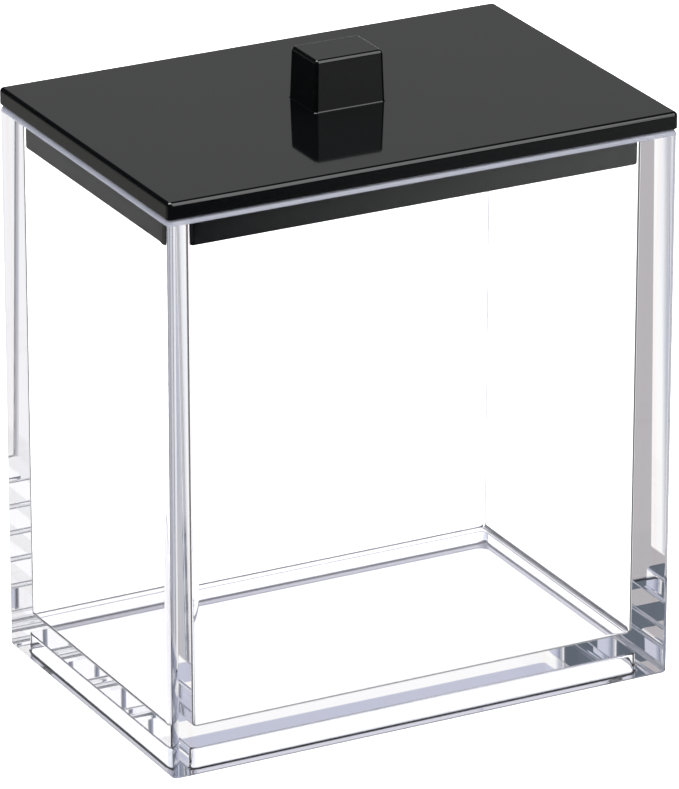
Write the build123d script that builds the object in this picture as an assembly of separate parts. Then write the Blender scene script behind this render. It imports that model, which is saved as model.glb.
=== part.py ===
"""Clear thick-walled storage canister with a black lift-off lid.

Millimetres, +Z up. The origin is the centre of the foot, on the surface that it stands on. X runs along
the wide faces, and the front face looks towards -Y. The canister is one moulding, and so is the lid: its
plate, its knob and the skirt that centres it in the mouth.
"""

import os
from math import radians, tan

from build123d import *

# Canister. The outline is given at the rim, and the walls lean in from there down to the foot.
body_width = 94.0
body_depth = 63.5
body_height = 98.0
body_corner_radius = 1.25
body_draft = 0.1
wall = 5.0
rim_outer_round = 1.06
rim_inner_round = 0.6
cavity_corner_radius = 1.5
cavity_draft = 0.25
cavity_floor_round = 0.8
floor_thickness = 3.5

# Foot ring, round the shallow recess under the floor.
foot_height = 3.6
foot_width = 4.5
foot_corner_radius = 1.5
foot_draft = 1.0
foot_round = 0.5

# Lid plate, flush with the canister's rim all round.
plate_thickness = 3.0
plate_corner_radius = 0.9
plate_top_round = 0.75
plate_bottom_round = 0.2

# Skirt under the plate, inside the mouth.
skirt_clearance = 0.3
skirt_depth = 6.4
skirt_wall = 2.0
skirt_draft = 0.5
skirt_end_round = 0.4

# Knob in the middle of the plate, cored out from below.
knob_width = 13.1
knob_depth = 9.5
knob_height = 9.0
knob_draft = 1.5
knob_edge_round = 0.6
knob_root_round = 0.25
knob_wall = 2.2
knob_core_radius = 0.6

# A round stays under this share of the wall or corner that it has to fit.
round_share = 0.85


def fitting(round_radius, *rooms):
    """The round's radius, or the largest that fits the smallest of the rooms."""
    return min(round_radius, round_share * min(rooms))


def lean(height, draft):
    """How far a drafted wall leans in over a height."""
    return height * tan(radians(draft))


def drafted_block(width, depth, corner, base, height, draft):
    """Block with a rounded outline at base, leaning in over its height. A negative height goes down."""
    outline = Plane.XY.offset(base) * RectangleRounded(width, depth, corner)
    return extrude(outline, amount=abs(height), dir=(0, 0, height), taper=draft)


def top_face(shape):
    """The flat face at the top of the shape."""
    return shape.faces().filter_by(Axis.Z).sort_by(Axis.Z)[-1]


def bottom_face(shape):
    """The flat face at the bottom of the shape."""
    return shape.faces().filter_by(Axis.Z).sort_by(Axis.Z)[0]


# Levels and outlines that the two mouldings share.
foot_reach = lean(body_height, body_draft)
cavity_floor = foot_height + floor_thickness
cavity_depth = body_height - cavity_floor
mouth_width = body_width - 2 * wall
mouth_depth = body_depth - 2 * wall
plate_top = body_height + plate_thickness


def cavity_core():
    """The space inside the walls, from the rim down to the floor, with a rounded floor edge."""
    corner = cavity_corner_radius
    core = drafted_block(mouth_width, mouth_depth, corner, body_height, -cavity_depth, cavity_draft)
    floor_corner = corner - lean(cavity_depth, cavity_draft)
    return fillet(bottom_face(core).edges(), fitting(cavity_floor_round, floor_corner))


def foot_core():
    """The recess under the floor, widest where it opens."""
    recess_width = body_width - 2 * foot_reach - 2 * foot_width
    recess_depth = body_depth - 2 * foot_reach - 2 * foot_width
    core = drafted_block(recess_width, recess_depth, foot_corner_radius, 0, foot_height, foot_draft)
    ceiling_corner = foot_corner_radius - lean(foot_height, foot_draft)
    return fillet(top_face(core).edges(), fitting(foot_round, ceiling_corner, foot_height / 2))


def make_canister():
    """Walls, floor and foot ring in one moulding."""
    body = drafted_block(body_width, body_depth, body_corner_radius, body_height, -body_height, body_draft)
    body = body - cavity_core() - foot_core()
    rim = top_face(body)
    body = fillet(rim.outer_wire().edges(), fitting(rim_outer_round, body_corner_radius, wall / 2))
    mouth = top_face(body).inner_wires()[0]
    body = fillet(mouth.edges(), fitting(rim_inner_round, wall / 2))
    foot = bottom_face(body)
    foot_corner = body_corner_radius - foot_reach
    return fillet(foot.edges(), fitting(foot_round, foot_corner, foot_width / 2, foot_height / 2))


def make_plate():
    """Flat plate that lies on the rim."""
    outline = RectangleRounded(body_width, body_depth, plate_corner_radius)
    plate = extrude(Plane.XY.offset(body_height) * outline, amount=plate_thickness)
    top_round = fitting(plate_top_round, plate_corner_radius, plate_thickness / 2)
    plate = fillet(top_face(plate).edges(), top_round)
    bottom_round = fitting(plate_bottom_round, plate_corner_radius, plate_thickness / 2)
    return fillet(bottom_face(plate).edges(), bottom_round)


def make_skirt():
    """Wall under the plate that drops into the mouth with a running clearance."""
    skirt_width = mouth_width - 2 * skirt_clearance
    skirt_length = mouth_depth - 2 * skirt_clearance
    corner = cavity_corner_radius - skirt_clearance
    skirt = drafted_block(skirt_width, skirt_length, corner, body_height, -skirt_depth, skirt_draft)
    end_inset = lean(skirt_depth, skirt_draft)
    end_corner = corner - end_inset
    end_round = fitting(skirt_end_round, end_corner, skirt_wall / 2, skirt_depth)
    skirt = fillet(bottom_face(skirt).edges(), end_round)
    hollow_width = skirt_width - 2 * end_inset - 2 * skirt_wall
    hollow_length = skirt_length - 2 * end_inset - 2 * skirt_wall
    skirt_end = body_height - skirt_depth
    hollow = drafted_block(hollow_width, hollow_length, end_corner, skirt_end, skirt_depth, skirt_draft)
    return skirt - hollow


def make_knob():
    """Tapered grip with one round along its upright and top edges."""
    outline = Plane.XY.offset(plate_top) * Rectangle(knob_width, knob_depth)
    knob = extrude(outline, amount=knob_height, taper=knob_draft)
    held_edges = bottom_face(knob).edges()
    free_edges = [edge for edge in knob.edges() if edge not in held_edges]
    return fillet(free_edges, fitting(knob_edge_round, knob_depth / 2, knob_height / 2))


def knob_core():
    """Blind pocket that hollows the knob from the plate's underside."""
    core_width = knob_width - 2 * knob_wall
    core_length = knob_depth - 2 * knob_wall
    core_height = plate_thickness + knob_height - knob_wall
    corner = fitting(knob_core_radius, core_length / 2)
    return drafted_block(core_width, core_length, corner, body_height, core_height, knob_draft)


def make_lid():
    """Plate, knob and skirt in one moulding, with a small hollow round where the knob meets the plate."""
    lid = make_plate() + make_knob()
    # The plate's face is the next flat one below the knob's top.
    plate_face = lid.faces().filter_by(Axis.Z).sort_by(Axis.Z)[-2]
    lid = fillet(plate_face.inner_wires()[0].edges(), knob_root_round)
    return lid + make_skirt() - knob_core()


os.makedirs("parts", exist_ok=True)
export_step(make_canister(), "parts/canister.step")
export_step(make_lid(), "parts/lid.step")
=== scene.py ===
"""Clear thick-walled storage canister with a glossy black lift-off lid, on a pale studio floor.

Metres, +Z up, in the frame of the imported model. The origin is the centre of the foot. Both mouldings are
stacks of rounded rectangles, so one tree lofts them from their sections, with finer rounds than the solids
that they stand for. Sizes of the sections are in millimetres, as on a drawing.
"""

import math
from collections import namedtuple

import bmesh
import bpy
from mathutils import Matrix, Vector


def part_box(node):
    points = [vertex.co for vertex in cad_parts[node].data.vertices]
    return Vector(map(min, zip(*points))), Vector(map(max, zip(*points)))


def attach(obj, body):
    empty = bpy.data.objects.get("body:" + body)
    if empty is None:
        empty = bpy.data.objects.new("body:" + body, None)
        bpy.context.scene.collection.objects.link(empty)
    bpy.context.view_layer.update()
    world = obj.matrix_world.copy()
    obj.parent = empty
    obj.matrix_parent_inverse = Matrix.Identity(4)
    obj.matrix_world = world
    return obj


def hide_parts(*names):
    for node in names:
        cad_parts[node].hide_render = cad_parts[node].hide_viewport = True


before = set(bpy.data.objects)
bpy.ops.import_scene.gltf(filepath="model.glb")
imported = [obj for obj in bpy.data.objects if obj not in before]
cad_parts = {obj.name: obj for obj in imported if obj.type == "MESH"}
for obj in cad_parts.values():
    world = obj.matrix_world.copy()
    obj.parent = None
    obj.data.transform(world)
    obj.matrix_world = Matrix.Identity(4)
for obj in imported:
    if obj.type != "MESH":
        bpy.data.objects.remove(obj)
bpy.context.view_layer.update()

MM = 0.001

# Overall sizes come from the frame.
canister_low, canister_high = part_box("canister")
lid_low, lid_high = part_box("lid")
BODY_WIDTH = (lid_high.x - lid_low.x) / MM
BODY_DEPTH = (lid_high.y - lid_low.y) / MM
BODY_HEIGHT = canister_high.z / MM
LID_TOP = lid_high.z / MM

# Canister
BODY_CORNER = 1.25
BODY_DRAFT = 0.1
WALL = 5.0
RIM_OUTER_ROUND = 1.06
RIM_INNER_ROUND = 0.6
CAVITY_CORNER = 1.5
CAVITY_DRAFT = 0.25
CAVITY_FLOOR = 7.1
CAVITY_FLOOR_ROUND = 0.8

# Foot ring
FOOT_HEIGHT = 3.6
FOOT_WIDTH = 4.5
FOOT_CORNER = 1.5
FOOT_DRAFT = 1.0
FOOT_ROUND = 0.5

# Lid. The seat gap is the film of air between the plate and the rim that it lies on.
SEAT_GAP = 0.05
PLATE_THICKNESS = 3.0
PLATE_CORNER = 0.9
PLATE_TOP_ROUND = 0.75
PLATE_BOTTOM_ROUND = 0.2
SKIRT_CLEARANCE = 0.3
SKIRT_DEPTH = 6.4
SKIRT_WALL = 2.0
SKIRT_DRAFT = 0.5
SKIRT_END_ROUND = 0.4
SKIRT_ROOT_ROUND = 0.3
KNOB_WIDTH = 13.1
KNOB_DEPTH = 9.5
KNOB_DRAFT = 1.5
KNOB_EDGE_ROUND = 0.6
KNOB_ROOT_ROUND = 0.25
KNOB_WALL = 2.2
KNOB_CORE_CORNER = 0.6
KNOB_CORE_ROUND = 0.2

# Fineness of the rounds: steps along each round, and along each upright corner.
ROUND_STEPS = 10
CORNER_STEPS = 12


class Value:
    """A number socket that takes part in Python sums. Each operation adds one Math node."""

    def __init__(self, bench, socket):
        self.bench = bench
        self.socket = socket

    def math(self, operation, *others):
        return self.bench.math(operation, self, *others)

    def __add__(self, other):
        return self.bench.math("ADD", self, other)

    def __radd__(self, other):
        return self.bench.math("ADD", other, self)

    def __sub__(self, other):
        return self.bench.math("SUBTRACT", self, other)

    def __rsub__(self, other):
        return self.bench.math("SUBTRACT", other, self)

    def __mul__(self, other):
        return self.bench.math("MULTIPLY", self, other)

    def __rmul__(self, other):
        return self.bench.math("MULTIPLY", other, self)

    def __truediv__(self, other):
        return self.bench.math("DIVIDE", self, other)

    def __rtruediv__(self, other):
        return self.bench.math("DIVIDE", other, self)


class Made:
    """A node that a bench has made, and its output sockets."""

    def __init__(self, bench, node):
        self.bench = bench
        self.node = node

    def out(self, name=0):
        return self.node.outputs[name]

    def value(self, name=0):
        return Value(self.bench, self.out(name))


class Bench:
    """A node tree, and the one way that nodes are put into it."""

    def __init__(self, tree):
        self.tree = tree

    def add(self, kind, settings=None, sockets=None):
        """A node of this kind, its settings first, then the value or link of each named socket."""
        node = self.tree.nodes.new(kind)
        for name, setting in (settings or {}).items():
            if name == "stops":
                self.set_stops(node.color_ramp, setting)
            else:
                setattr(node, name, setting)
        for name, given in (sockets or {}).items():
            if isinstance(given, Value):
                given = given.socket
            if isinstance(given, Made):
                given = given.out()
            if isinstance(given, bpy.types.NodeSocket):
                self.tree.links.new(given, node.inputs[name])
            else:
                node.inputs[name].default_value = given
        return Made(self, node)

    @staticmethod
    def set_stops(ramp, stops):
        while len(ramp.elements) < len(stops):
            ramp.elements.new(1.0)
        for element, (position, colour) in zip(ramp.elements, stops):
            element.position = position
            element.color = colour

    def math(self, operation, *terms):
        return self.add("ShaderNodeMath", {"operation": operation}, dict(enumerate(terms))).value()

    def ramp(self, share, stops):
        """A colour that follows the stops as the share goes from 0 to 1."""
        return self.add("ShaderNodeValToRGB", {"stops": stops}, {"Fac": share}).out()

    def blend(self, share, first, second):
        """The first colour going over into the second as the share goes from 0 to 1."""
        sockets = {"Factor": share, 6: first, 7: second}
        return self.add("ShaderNodeMix", {"data_type": "RGBA"}, sockets).out(2)

    def mix(self, share, first, second):
        """The first finish going over into the second as the share goes from 0 to 1."""
        return self.add("ShaderNodeMixShader", None, {0: share, 1: first, 2: second})

    def noise(self, place, scale, detail=2.0):
        sockets = {"Vector": place, "Scale": scale, "Detail": detail}
        return self.add("ShaderNodeTexNoise", None, sockets).value("Fac")

    def mark(self, name):
        """A number that the moulding carries from ring to ring."""
        return self.add("ShaderNodeAttribute", {"attribute_name": name}).value("Fac")

    def turns(self, kind, count):
        """1 for light that has made at least this many turns of a kind on its way, and 0 for the rest."""
        depth = self.add("ShaderNodeLightPath").value(kind + " Depth")
        return depth.math("GREATER_THAN", count - 0.5)


# Sections. A ring is a rounded rectangle at a height, and a moulding is a stack of rings from axis to axis.
class Outline(namedtuple("Outline", "half_width half_depth corner")):
    """A rounded rectangle about the axis."""

    def grown(self, amount):
        """The outline moved outwards by an amount, or inwards by a negative one."""
        return Outline(*(max(size + amount, 0.0) for size in self))


# A ring's bend is 0 on a flat and 1 in the middle of a round. It is 1 upright on a wall, and 0 on a flat.
# The clear plastic is painted darker along its rounds by the bend.
# Its satin is 1 where the moulding is left unpolished. On the canister's rim it also carries a painted
# lilac-grey glow.
Ring = namedtuple("Ring", "outline height bend upright satin")


def on_axis(height):
    """The point where a section starts or ends in the middle of a flat."""
    return Ring(Outline(0.0, 0.0, 0.0), height, bend=0.0, upright=0.0, satin=0.0)


def rectangle(width, depth, corner):
    return Outline(width / 2, depth / 2, corner)


def lean(height, draft):
    """How far a drafted wall leans over a height."""
    return height * math.tan(math.radians(draft))


def edge_round(outline, flat, radius, way, rise, painted_edge_shade=1.0):
    """Rings of a round from an upright wall to a flat face.

    The outline and the flat's height meet at the sharp edge. The way is 1 where the flat lies outside the
    wall's outline and -1 inside it, and the rise is 1 where the wall stands above the flat and -1 below it.
    This argument sets the bend in the middle of the round, and with it the painted shade that the clear
    plastic gets along the round.
    """
    rings = []
    for step in range(ROUND_STEPS + 1):
        turn = math.radians(90.0) * step / ROUND_STEPS
        sideways = radius * (1 - math.cos(turn))
        upwards = radius * (1 - math.sin(turn))
        place = (outline.grown(way * sideways), flat + rise * upwards)
        bend = painted_edge_shade * math.sin(2 * turn)
        rings.append(Ring(*place, bend, upright=painted_edge_shade * math.cos(turn), satin=0.0))
    return rings


def unpolished(rings):
    return [ring._replace(satin=1.0) for ring in rings]


def canister_section():
    """From under the floor's middle out round the foot, up, over the rim and down to the floor's middle."""
    rim = rectangle(BODY_WIDTH, BODY_DEPTH, BODY_CORNER)
    mouth = rectangle(BODY_WIDTH - 2 * WALL, BODY_DEPTH - 2 * WALL, CAVITY_CORNER)
    foot = rim.grown(-lean(BODY_HEIGHT, BODY_DRAFT))
    cavity_end = mouth.grown(-lean(BODY_HEIGHT - CAVITY_FLOOR, CAVITY_DRAFT))
    recess = foot.grown(-FOOT_WIDTH)._replace(corner=FOOT_CORNER)
    recess_end = recess.grown(-lean(FOOT_HEIGHT, FOOT_DRAFT))
    rim_start, *rim_round, rim_end = edge_round(rim, BODY_HEIGHT, RIM_OUTER_ROUND, -1, -1)
    return [
        on_axis(FOOT_HEIGHT),
        *reversed(edge_round(recess_end, FOOT_HEIGHT, FOOT_ROUND, -1, -1)),
        *edge_round(recess, 0.0, FOOT_ROUND, 1, 1),
        *reversed(edge_round(foot, 0.0, FOOT_ROUND, -1, 1)),
        rim_start,
        *unpolished(rim_round),
        rim_end,
        *reversed(edge_round(mouth, BODY_HEIGHT, RIM_INNER_ROUND, 1, -1, painted_edge_shade=0.3)),
        *edge_round(cavity_end, CAVITY_FLOOR, CAVITY_FLOOR_ROUND, -1, 1, painted_edge_shade=0.3),
        on_axis(CAVITY_FLOOR),
    ]


def lid_section():
    """From the knob's pocket out under the plate, round the skirt and plate, and up to the knob's top."""
    seat = BODY_HEIGHT + SEAT_GAP
    plate_top = BODY_HEIGHT + PLATE_THICKNESS
    knob_height = LID_TOP - plate_top
    pocket_end = LID_TOP - KNOB_WALL
    skirt_end = seat - SKIRT_DEPTH
    plate = rectangle(BODY_WIDTH, BODY_DEPTH, PLATE_CORNER)
    skirt = plate.grown(-WALL - SKIRT_CLEARANCE)._replace(corner=CAVITY_CORNER - SKIRT_CLEARANCE)
    skirt_tip = skirt.grown(-lean(SKIRT_DEPTH, SKIRT_DRAFT))
    hollow_tip = skirt_tip.grown(-SKIRT_WALL)._replace(corner=skirt_tip.corner)
    hollow = hollow_tip.grown(-lean(SKIRT_DEPTH, SKIRT_DRAFT))
    knob = rectangle(KNOB_WIDTH, KNOB_DEPTH, KNOB_EDGE_ROUND)
    knob_tip = knob.grown(-lean(knob_height, KNOB_DRAFT))._replace(corner=KNOB_EDGE_ROUND)
    pocket = knob.grown(-KNOB_WALL)._replace(corner=KNOB_CORE_CORNER)
    pocket_tip = pocket.grown(-lean(pocket_end - seat, KNOB_DRAFT))
    underside = [
        on_axis(pocket_end),
        *reversed(edge_round(pocket_tip, pocket_end, KNOB_CORE_ROUND, -1, -1)),
        *edge_round(pocket, seat, KNOB_CORE_ROUND, 1, 1),
        *reversed(edge_round(hollow, seat, SKIRT_ROOT_ROUND, -1, -1)),
        *edge_round(hollow_tip, skirt_end, SKIRT_END_ROUND, 1, 1),
        *reversed(edge_round(skirt_tip, skirt_end, SKIRT_END_ROUND, -1, 1)),
        *edge_round(skirt, seat, SKIRT_ROOT_ROUND, 1, -1),
    ]
    outside = [
        *reversed(edge_round(plate, seat, PLATE_BOTTOM_ROUND, -1, 1)),
        *edge_round(plate, plate_top, PLATE_TOP_ROUND, -1, -1),
        *reversed(edge_round(knob, plate_top, KNOB_ROOT_ROUND, 1, 1)),
        *edge_round(knob_tip, LID_TOP, KNOB_EDGE_ROUND, -1, -1),
        on_axis(LID_TOP),
    ]
    return unpolished(underside) + outside


def rounded_loft_tree():
    """Skins a stack of rounded rectangles, given as points that carry each ring's sizes."""
    tree = bpy.data.node_groups.new("rounded_loft", "GeometryNodeTree")
    for name, kind in (("Rings", "Geometry"), ("Corner Steps", "Int"), ("Finish", "Material")):
        tree.interface.new_socket(name=name, in_out="INPUT", socket_type="NodeSocket" + kind)
    tree.interface.new_socket(name="Moulding", in_out="OUTPUT", socket_type="NodeSocketGeometry")
    bench = Bench(tree)
    given = bench.add("NodeGroupInput")
    rings = given.out("Rings")
    steps = given.value("Corner Steps")

    # A grid with one column for each point of the outline, and one more that closes it.
    ring_count = bench.add(
        "GeometryNodeAttributeDomainSize", {"component": "MESH"}, {"Geometry": rings}
    ).value("Point Count")
    columns = 4 * (steps + 1)
    grid = bench.add("GeometryNodeMeshGrid", None, {"Vertices X": columns + 1, "Vertices Y": ring_count})
    index = bench.add("GeometryNodeInputIndex").value()
    column = (index / ring_count).math("FLOOR")
    ring = index - column * ring_count
    column = column.math("MODULO", columns)
    quarter = (column / (steps + 1)).math("FLOOR")
    share = (column - quarter * (steps + 1)) / steps
    turn = (quarter + share) * math.radians(90.0)
    middle = (quarter + 0.5) * math.radians(90.0)

    def ring_size(name):
        held = bench.add("GeometryNodeInputNamedAttribute", {"data_type": "FLOAT"}, {"Name": name})
        sockets = {"Geometry": rings, "Value": held, "Index": ring}
        return bench.add("GeometryNodeSampleIndex", {"data_type": "FLOAT"}, sockets).value()

    corner = ring_size("corner")
    across = middle.math("COSINE").math("SIGN") * (ring_size("half_width") - corner)
    along = middle.math("SINE").math("SIGN") * (ring_size("half_depth") - corner)
    place = bench.add("ShaderNodeCombineXYZ", None, {
        "X": across + corner * turn.math("COSINE"),
        "Y": along + corner * turn.math("SINE"),
        "Z": ring_size("height"),
    })
    skin = bench.add("GeometryNodeSetPosition", None, {"Geometry": grid, "Position": place})
    corner_bend = (share * math.radians(180.0)).math("SINE")
    # The bend also sets the clear plastic's painted edge shade.
    marks = {
        "bend": ring_size("bend").math("MAXIMUM", corner_bend * ring_size("upright")),
        "satin": ring_size("satin"),
    }
    for name, mark in marks.items():
        settings = {"data_type": "FLOAT", "domain": "POINT"}
        sockets = {"Geometry": skin, "Name": name, "Value": mark}
        skin = bench.add("GeometryNodeStoreNamedAttribute", settings, sockets)
    skin = bench.add("GeometryNodeMergeByDistance", None, {"Geometry": skin, "Distance": 0.001 * MM})
    skin = bench.add("GeometryNodeRealizeInstances", None, {"Geometry": skin})
    skin = bench.add("GeometryNodeSetMaterial", None, {"Geometry": skin, "Material": given.out("Finish")})
    bench.add("NodeGroupOutput", None, {"Moulding": skin})
    return tree


def loft(name, rings, tree, finish):
    """A closed moulding from its rings, as a plain mesh."""
    mesh = bpy.data.meshes.new(name + "_rings")
    mesh.from_pydata([(0.0, 0.0, ring.height * MM) for ring in rings], [], [])
    sizes = {size: [getattr(ring.outline, size) * MM for ring in rings] for size in Outline._fields}
    sizes["height"] = [ring.height * MM for ring in rings]
    marks = {mark: [getattr(ring, mark) for ring in rings] for mark in ("bend", "upright", "satin")}
    for name_held, values in (sizes | marks).items():
        mesh.attributes.new(name_held, "FLOAT", "POINT").data.foreach_set("value", values)
    moulding = bpy.data.objects.new(name, mesh)
    bpy.context.scene.collection.objects.link(moulding)

    modifier = moulding.modifiers.new("rounded_loft", "NODES")
    modifier.node_group = tree
    inputs = {item.name: item.identifier for item in tree.interface.items_tree if item.in_out == "INPUT"}
    modifier[inputs["Corner Steps"]] = CORNER_STEPS
    modifier[inputs["Finish"]] = finish
    shaped = moulding.evaluated_get(bpy.context.evaluated_depsgraph_get())
    moulding.data = bpy.data.meshes.new_from_object(shaped)
    moulding.modifiers.clear()
    bpy.data.meshes.remove(mesh)

    moulding.data.name = name
    face_outwards(moulding.data)
    keep_flats_flat(moulding.data)
    return moulding


def face_outwards(mesh):
    shell = bmesh.new()
    shell.from_mesh(mesh)
    bmesh.ops.recalc_face_normals(shell, faces=shell.faces)
    shell.to_mesh(mesh)
    shell.free()


def keep_flats_flat(mesh):
    """Smooth normals, led by the largest face, so that a flat stays flat right up to its rounded edges."""
    mesh.polygons.foreach_set("use_smooth", [True] * len(mesh.polygons))
    sums = [Vector() for _ in mesh.vertices]
    for face in mesh.polygons:
        for vertex in face.vertices:
            sums[vertex] += face.normal * (face.area / MM**2) ** 3
    mesh.normals_split_custom_set_from_vertices([total.normalized() for total in sums])


# Finishes
def colour(red, green, blue):
    return (red, green, blue, 1.0)


WHITE = colour(1.0, 1.0, 1.0)


def new_finish(name):
    finish = bpy.data.materials.new(name)
    finish.use_nodes = True
    finish.node_tree.nodes.clear()
    return finish, Bench(finish.node_tree)


def clear_plastic():
    """Water-white moulded plastic, with a cool painted shade along its rounded edges, painted colour
    fringes in its corner posts and an unpolished rim with a painted lilac-grey glow.
    """
    finish, bench = new_finish("clear_plastic")
    place = bench.add("ShaderNodeTexCoord").out("Object")
    haze = bench.noise(place, 60.0)
    clear = bench.blend(haze, colour(0.97, 0.975, 1.0), colour(1.0, 0.99, 0.985))

    # Painted light: a cool and a warm line along each corner post stand in for the light that splits there.
    # They drift on the way up.
    parts = bench.add("ShaderNodeSeparateXYZ", None, {"Vector": place})
    from_side = BODY_WIDTH / 2 - parts.value("X").math("ABSOLUTE") / MM
    from_front = BODY_DEPTH / 2 - parts.value("Y").math("ABSOLUTE") / MM
    in_post = from_side.math("LESS_THAN", WALL) * from_front.math("LESS_THAN", WALL)
    drift = 0.08 * (parts.value("Z") / (14.0 * MM)).math("SINE")
    fringe = bench.ramp((from_side + from_front) / WALL + drift, [
        (0.08, WHITE),
        (0.20, colour(0.78, 0.83, 1.0)),
        (0.30, WHITE),
        (0.60, WHITE),
        (0.75, colour(1.0, 0.88, 0.86)),
        (0.85, WHITE),
    ])
    clear = bench.blend(0.8 * in_post, clear, fringe)
    # Painted shade: the rounds are darkened towards a cool grey by their bend, standing in for the dark
    # lines that light draws along clear edges.
    painted_edge_shade = bench.blend(0.85 * bench.mark("bend"), clear, colour(0.25, 0.27, 0.34))
    body = bench.add("ShaderNodeBsdfPrincipled", None, {
        "Base Color": painted_edge_shade,
        "Roughness": 0.01 * haze,
        "IOR": 1.49,
        "Transmission Weight": 1.0,
    })
    # Partly painted light: the rim's round is unpolished, and its opaque lilac-grey colour stands in for
    # the light that glows in the round under the lid.
    rim = bench.add("ShaderNodeBsdfPrincipled", None, {
        "Base Color": bench.blend(haze, colour(0.19, 0.20, 0.245), colour(0.225, 0.23, 0.265)),
        "Roughness": 0.25 + 0.1 * haze,
        "IOR": 1.49,
    })
    body = bench.mix(0.85 * bench.mark("satin"), body, rim)
    passing = bench.add("ShaderNodeBsdfTransparent", None, {"Color": colour(0.995, 0.995, 0.996)})
    shadow_ray = bench.add("ShaderNodeLightPath").out("Is Shadow Ray")
    bench.add("ShaderNodeOutputMaterial", None, {"Surface": bench.mix(shadow_ray, body, passing)})
    return finish


def black_plastic():
    """Solid black plastic with a mirror gloss, a trace of flow in its skin and an unpolished underside.

    Its mirror images of itself are dull, so that they stay darker than the lid.
    """
    finish, bench = new_finish("black_plastic")
    place = bench.add("ShaderNodeTexCoord").out("Object")
    flow = bench.noise(place, 22.0)
    grain = bench.noise(place, 900.0)
    shade = bench.ramp(flow, [(0.3, colour(0.0010, 0.0012, 0.0014)), (0.7, colour(0.0015, 0.0017, 0.0018))])
    skin = bench.add("ShaderNodeBump", None, {
        "Strength": 0.02, "Distance": 0.1 * MM, "Height": flow + 0.05 * grain,
    })
    gloss = bench.add("ShaderNodeBsdfPrincipled", None, {
        "Base Color": shade,
        "Roughness": 0.03 + 0.04 * flow,
        "IOR": 1.5,
        "Normal": skin,
    })
    dullness = 0.35 + 0.1 * flow

    def dull(level):
        sockets = {"Base Color": shade, "Roughness": dullness, "IOR": 1.5, "Specular IOR Level": level}
        return bench.add("ShaderNodeBsdfPrincipled", None, sockets)

    outside = bench.mix(0.8 * bench.turns("Glossy", 1), gloss, dull(0.15))
    surface = bench.mix(bench.mark("satin"), outside, dull(0.05))
    bench.add("ShaderNodeOutputMaterial", None, {"Surface": surface})
    return finish


def studio_paper():
    """Matt white paper. What the object mirrors is the room beyond it."""
    finish, bench = new_finish("studio_paper")
    place = bench.add("ShaderNodeTexCoord").out("Object")
    fibre = bench.noise(place, 300.0, detail=4.0)
    paper = bench.add("ShaderNodeBsdfPrincipled", None, {
        "Base Color": bench.blend(fibre, colour(0.88, 0.88, 0.885), colour(0.92, 0.92, 0.92)),
        "Roughness": 0.9,
        "Specular IOR Level": 0.0,
    })
    surface = bench.mix(bench.turns("Glossy", 1), paper, bench.add("ShaderNodeBsdfTransparent"))
    bench.add("ShaderNodeOutputMaterial", None, {"Surface": surface})
    return finish


# The two mouldings
loft_tree = rounded_loft_tree()

canister = loft("canister_moulding", canister_section(), loft_tree, clear_plastic())
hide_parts("canister")
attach(canister, "canister")

lid = loft("lid_moulding", lid_section(), loft_tree, black_plastic())
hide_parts("lid")
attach(lid, "lid")


# Camera, from a fit to the corners of the object in the photograph.
IMAGE_HEIGHT = 789
FOCAL_PIXELS = 7272.9
CAMERA_AZIMUTH = math.radians(-27.669)
CAMERA_ELEVATION = math.radians(21.902)
CAMERA_DISTANCE = 1222.15 * MM
CAMERA_OFFSET = (-0.4006 * MM, 0.6111 * MM)
SENSOR = 36.0

# Studio
FLOOR_RADIUS = 6.0
FLOOR_DROP = 0.05 * MM
LIGHTS_AIM = Vector((0.0, 0.0, 0.1))

# Ways into the room, from 0 behind the camera to 1 straight ahead of it. The object's front mirrors a
# narrow range of them, from its left end to its right, and its sides mirror another.
BACKWARDS = 0.03
FRONT_LEFT = 0.226
FRONT = 0.24
FRONT_RIGHT = 0.252
ACROSS = 0.50
SIDES = 0.76
AHEAD = 0.95


def make_floor():
    shell = bmesh.new()
    bmesh.ops.create_circle(shell, cap_ends=True, segments=64, radius=FLOOR_RADIUS)
    bmesh.ops.translate(shell, verts=shell.verts, vec=(0.0, 0.0, -FLOOR_DROP))
    mesh = bpy.data.meshes.new("studio_floor")
    shell.to_mesh(mesh)
    shell.free()
    mesh.materials.append(studio_paper())
    floor = bpy.data.objects.new("studio_floor", mesh)
    bpy.context.scene.collection.objects.link(floor)


def softbox(name, place, width, height, radiance):
    """A rectangular soft light, as bright all over its face as the radiance says."""
    lamp = bpy.data.lights.new(name, "AREA")
    lamp.shape = "RECTANGLE"
    lamp.size = width
    lamp.size_y = height
    lamp.energy = radiance * math.pi * width * height
    box = bpy.data.objects.new(name, lamp)
    box.location = place
    box.rotation_euler = (LIGHTS_AIM - Vector(place)).to_track_quat("-Z", "Y").to_euler()
    box.visible_camera = False
    box.visible_diffuse = False
    box.visible_transmission = False
    bpy.context.scene.collection.objects.link(box)


def even_light(strength, spread):
    """Soft light from the whole sky, which lights the floor but does not show in the plastic."""
    lamp = bpy.data.lights.new("even_light", "SUN")
    lamp.energy = strength
    lamp.angle = math.radians(spread)
    sky = bpy.data.objects.new("even_light", lamp)
    sky.visible_camera = False
    sky.visible_glossy = False
    sky.visible_transmission = False
    bpy.context.scene.collection.objects.link(sky)


def outer_room(bench, ahead, below, within):
    """What the object's outer faces mirror: a dark room that is lit at its far end, under a black ceiling.

    Its sides are darker where they are mirrored from within the walls.
    """
    floor = bench.ramp(ahead, [
        (FRONT_LEFT, colour(0.02, 0.025, 0.03)),
        (FRONT_RIGHT, colour(0.32, 0.33, 0.325)),
        (SIDES, colour(0.24, 0.235, 0.22)),
        (AHEAD, WHITE),
    ])
    floor_within = bench.ramp(ahead, [
        (FRONT_LEFT, colour(0.0, 0.01, 0.01)),
        (FRONT_RIGHT, colour(1.4, 1.42, 1.4)),
        (ACROSS, colour(0.12, 0.12, 0.12)),
        (SIDES, colour(0.03, 0.03, 0.03)),
        (AHEAD, WHITE),
    ])
    return bench.blend(below, colour(0.02, 0.02, 0.022), bench.blend(within, floor, floor_within))


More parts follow.
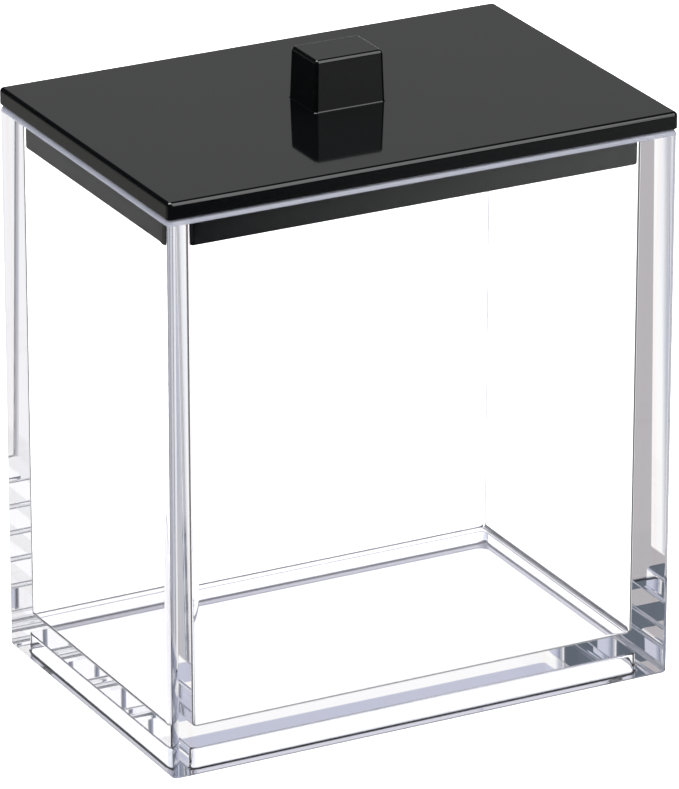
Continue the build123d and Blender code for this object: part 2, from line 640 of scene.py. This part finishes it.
def inner_room(bench, ahead, below, beyond):
    """What shows where light turns more than once inside the walls, paler where it comes from beyond."""
    floor = bench.ramp(ahead, [
        (BACKWARDS, colour(0.30, 0.32, 0.38)),
        (FRONT, colour(1.1, 1.1, 1.12)),
        (ACROSS, colour(0.50, 0.52, 0.60)),
        (SIDES, colour(0.48, 0.455, 0.47)),
        (AHEAD, WHITE),
    ])
    ceiling = bench.ramp(ahead, [
        (BACKWARDS, colour(0.20, 0.21, 0.25)),
        (FRONT, colour(1.25, 1.25, 1.3)),
        (ACROSS, colour(0.20, 0.21, 0.24)),
        (SIDES, colour(0.09, 0.115, 0.15)),
        (AHEAD, colour(0.56, 0.58, 0.70)),
    ])
    floor = bench.blend(beyond, floor, colour(0.80, 0.80, 0.86))
    ceiling = bench.blend(beyond, ceiling, colour(0.66, 0.66, 0.74))
    return bench.blend(below, ceiling, floor)


def surround():
    """White where it is seen directly, and a room where the object mirrors it."""
    world = bpy.data.worlds.new("surround")
    bpy.context.scene.world = world
    world.use_nodes = True
    world.node_tree.nodes.clear()
    bench = Bench(world.node_tree)
    aim = bench.add("ShaderNodeTexCoord").out("Generated")
    parts = bench.add("ShaderNodeSeparateXYZ", None, {"Vector": aim})
    height = parts.value("Z")
    onwards = -math.sin(CAMERA_AZIMUTH) * parts.value("X") + math.cos(CAMERA_AZIMUTH) * parts.value("Y")
    ahead = 0.5 + 0.5 * onwards
    below = (0.5 - 10.0 * height).math("MAXIMUM", 0.0).math("MINIMUM", 1.0)

    # Light from within has gone through plastic, and light from beyond has crossed more than one wall.
    mirrored = bench.turns("Glossy", 1)
    within = bench.turns("Transmission", 1)
    beyond = bench.turns("Transmission", 3)
    turned = beyond.math("MAXIMUM", within * bench.turns("Glossy", 2))
    seen = bench.blend(within * height.math("MAXIMUM", 0.0), WHITE, colour(0.25, 0.26, 0.30))
    outside = outer_room(bench, ahead, below, within)
    room = bench.blend(turned, outside, inner_room(bench, ahead, below, beyond))
    glow = bench.add("ShaderNodeBackground", None, {"Color": bench.blend(mirrored, seen, room)})
    bench.add("ShaderNodeOutputWorld", None, {"Surface": glow})
    world.cycles_visibility.diffuse = False
    world.cycles.sampling_method = "NONE"


make_floor()
surround()
even_light(9.4, 140.0)
softbox("front_light", (0.346, -0.442, 0.914), 0.5, 1.1, 3.6)
softbox("front_strip", (0.529, -1.037, 0.39), 0.18, 0.44, 3.6)
softbox("top_light", (-0.25, 0.2, 1.3), 0.9, 0.9, 10.0)
softbox("back_panel", (0.55, 1.05, 0.57), 0.7, 0.5, 0.35)


def make_camera():
    back = Vector((
        math.sin(CAMERA_AZIMUTH) * math.cos(CAMERA_ELEVATION),
        -math.cos(CAMERA_AZIMUTH) * math.cos(CAMERA_ELEVATION),
        math.sin(CAMERA_ELEVATION),
    ))
    right = Vector((math.cos(CAMERA_AZIMUTH), math.sin(CAMERA_AZIMUTH), 0.0))
    up = back.cross(right)
    lens = bpy.data.cameras.new("camera")
    lens.sensor_width = SENSOR
    lens.lens = FOCAL_PIXELS * SENSOR / IMAGE_HEIGHT
    lens.clip_start = 0.05
    lens.clip_end = 50.0
    camera = bpy.data.objects.new("camera", lens)
    target = Vector((0.0, 0.0, BODY_HEIGHT * MM / 2))
    camera.location = target + back * CAMERA_DISTANCE - right * CAMERA_OFFSET[0] - up * CAMERA_OFFSET[1]
    camera.rotation_mode = "QUATERNION"
    camera.rotation_quaternion = Matrix((right, up, back)).transposed().to_quaternion()
    bpy.context.scene.collection.objects.link(camera)
    bpy.context.scene.camera = camera


make_camera()

# Enough bounces for light to cross both walls and turn inside them.
scene = bpy.context.scene
scene.view_settings.view_transform = "Standard"
scene.cycles.max_bounces = 24
scene.cycles.transmission_bounces = 16
scene.cycles.glossy_bounces = 20
scene.cycles.transparent_max_bounces = 12
